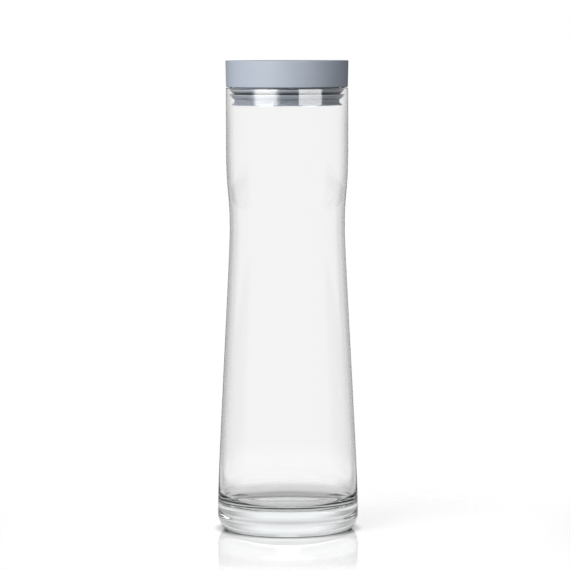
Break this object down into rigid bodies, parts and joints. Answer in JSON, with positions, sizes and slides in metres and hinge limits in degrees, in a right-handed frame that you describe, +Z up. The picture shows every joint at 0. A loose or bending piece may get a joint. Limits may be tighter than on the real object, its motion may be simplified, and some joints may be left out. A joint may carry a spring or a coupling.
{
  "type": "water carafe",
  "caption": "Tall clear glass water carafe with a drawn-in waist and a heavy base, closed by a grey push-in lid whose stopper seals with raked silicone lips.",
  "frame": {"origin": "middle of the standing ring, on the surface that the carafe stands on", "axes": "+Z up along the bottle's axis, towards the lid"},
  "size_m": [0.09, 0.09, 0.3],
  "materials": {
    "clear_glass": "polished, clear, faintly green where it is thick",
    "cap_plastic": "moulded, fine satin",
    "core_plastic": "moulded, plain",
    "seal_silicone": "moulded silicone, matte",
    "plate_plastic": "moulded, plain"
  },
  "bodies": {
    "carafe": {"glass_body": "clear_glass"},
    "lid": {"cap_shell": "cap_plastic", "stopper_core": "core_plastic", "lip_seal": "seal_silicone", "base_plate": "plate_plastic"}
  },
  "joints": [
    {"name": "lid_lift", "type": "slide", "parent": "carafe", "child": "lid", "axis": [0, 0, 1], "range_m": [0, 0.06]}
  ]
}
